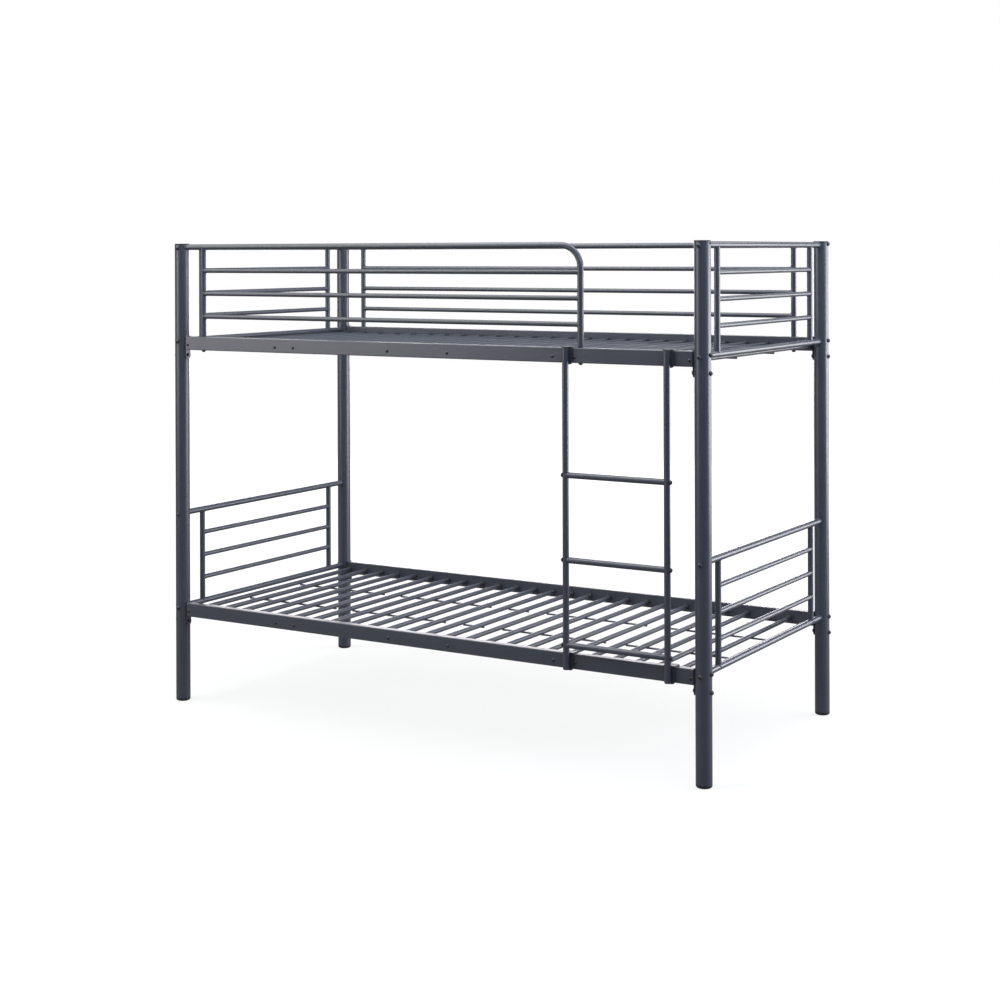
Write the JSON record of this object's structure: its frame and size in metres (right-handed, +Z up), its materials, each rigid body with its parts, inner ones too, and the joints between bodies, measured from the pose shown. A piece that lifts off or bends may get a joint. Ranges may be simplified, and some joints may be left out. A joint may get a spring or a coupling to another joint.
{
  "type": "bunk bed",
  "caption": "Tubular steel bunk bed: two slatted single decks on round corner posts, guard rails, end panels and a hook-on ladder.",
  "frame": {"origin": "bottom centre of the whole bed's box, on the floor between the four feet", "axes": "+X along the bed to its ladder end, +Y from the ladder side to the back, +Z up"},
  "size_m": [1.9904, 0.985, 1.546],
  "materials": {
    "frame_coat": "satin powder coat",
    "slat_coat": "satin powder coat",
    "hook_coat": "satin powder coat",
    "black_fastener": "black oxide",
    "black_plastic": "moulded, matte"
  },
  "bodies": {
    "bed": {"back_guard_rail": "frame_coat", "end_panel_bolts": "black_fastener", "front_guard_rail": "frame_coat", "guard_foot_bolts": "black_fastener", "guard_post_bolts": "black_fastener", "joint_tube_back_left": "frame_coat", "joint_tube_back_right": "frame_coat", "joint_tube_front_left": "frame_coat", "joint_tube_front_right": "frame_coat", "lower_end_panel_left": "frame_coat", "lower_end_panel_right": "frame_coat", "lower_post_back_left": "frame_coat", "lower_post_back_right": "frame_coat", "lower_post_front_left": "frame_coat", "lower_post_front_right": "frame_coat", "lower_side_rail_back": "frame_coat", "lower_side_rail_front": "frame_coat", "lower_slat_caps": "black_plastic", "lower_slat_panel_1": "slat_coat", "lower_slat_panel_2": "slat_coat", "lower_slat_panel_3": "slat_coat", "lower_slat_panel_4": "slat_coat", "lower_slat_panel_5": "slat_coat", "post_caps": "black_plastic", "post_feet": "black_plastic", "rail_bolts": "black_fastener", "rail_nuts": "black_fastener", "slat_screws": "black_fastener", "upper_end_panel_left": "frame_coat", "upper_end_panel_right": "frame_coat", "upper_post_back_left": "frame_coat", "upper_post_back_right": "frame_coat", "upper_post_front_left": "frame_coat", "upper_post_front_right": "frame_coat", "upper_side_rail_back": "frame_coat", "upper_side_rail_front": "frame_coat", "upper_slat_caps": "black_plastic", "upper_slat_panel_1": "slat_coat", "upper_slat_panel_2": "slat_coat", "upper_slat_panel_3": "slat_coat", "upper_slat_panel_4": "slat_coat", "upper_slat_panel_5": "slat_coat"},
    "ladder": {"ladder_hook_lower_left": "hook_coat", "ladder_hook_lower_right": "hook_coat", "ladder_hook_upper_left": "hook_coat", "ladder_hook_upper_right": "hook_coat", "ladder_plugs": "black_plastic", "ladder_rung_bolts": "black_fastener", "ladder_rung_lower": "frame_coat", "ladder_rung_middle": "frame_coat", "ladder_rung_upper": "frame_coat", "ladder_stile_left": "frame_coat", "ladder_stile_right": "frame_coat"}
  },
  "joints": [
    {"name": "ladder_lift", "type": "slide", "parent": "bed", "child": "ladder", "axis": [0, 0, 1], "range_m": [0, 0.05]}
  ]
}
